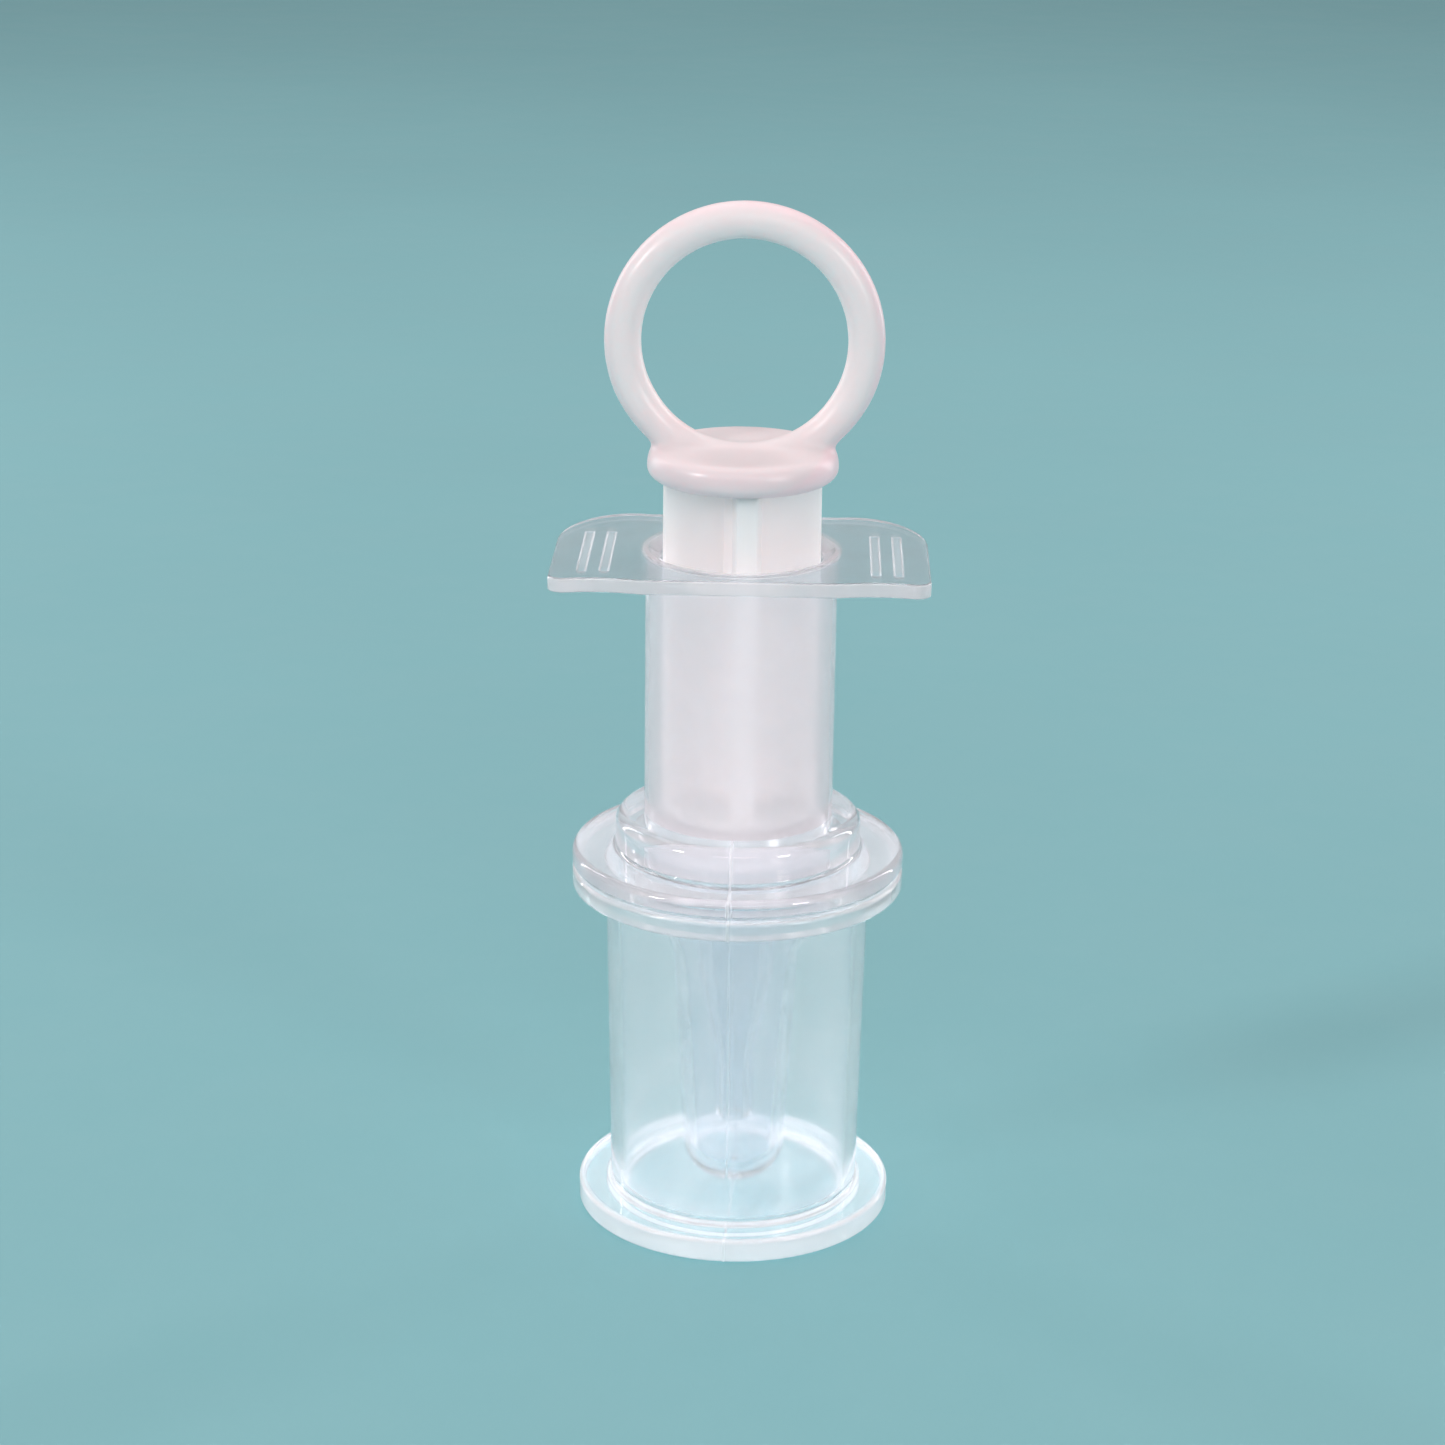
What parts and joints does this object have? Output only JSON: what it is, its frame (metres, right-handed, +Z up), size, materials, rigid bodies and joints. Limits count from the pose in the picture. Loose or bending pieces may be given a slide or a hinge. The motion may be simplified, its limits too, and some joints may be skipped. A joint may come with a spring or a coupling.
{
  "type": "oral syringe",
  "caption": "Pacifier-type oral syringe: barrel with finger wings, finger-ring plunger and silicone teat, standing in its cover cup.",
  "frame": {"origin": "centre of the cover cup's underside, where the object stands", "axes": "+Z up along the syringe's axis, X along the finger wings, the pull ring in the XZ plane"},
  "size_m": [0.0446, 0.0406, 0.1267],
  "materials": {
    "cup_plastic": "clear, slightly hazy polypropylene, moulded satin gloss",
    "silicone": "clear glossy silicone rubber",
    "barrel_plastic": "translucent polypropylene, moulded satin gloss",
    "silicone_seal": "translucent silicone rubber, satin",
    "rod_plastic": "natural white polypropylene, satin",
    "ring_plastic": "pale pink translucent polypropylene, satin"
  },
  "bodies": {
    "cover": {"cover_cup": "cup_plastic"},
    "nipple": {"nipple": "silicone"},
    "barrel": {"barrel": "barrel_plastic"},
    "piston": {"piston_seal": "silicone_seal"},
    "plunger": {"plunger_rod": "rod_plastic", "pull_ring": "ring_plastic"}
  },
  "joints": [
    {"name": "cover_pull", "type": "slide", "parent": "cover", "child": "nipple", "axis": [0, 0, 1], "range_m": [0, 0.045]},
    {"name": "nipple_pull", "type": "slide", "parent": "nipple", "child": "barrel", "axis": [0, 0, 1], "range_m": [0, 0.042]},
    {"name": "piston_slide", "type": "slide", "parent": "barrel", "child": "piston", "axis": [0, 0, 1], "range_m": [0, 0.031]},
    {"name": "plunger_turn", "type": "hinge", "parent": "piston", "child": "plunger", "pos_m": [0, 0, 0.0498], "axis": [0, 0, 1], "continuous": true}
  ]
}
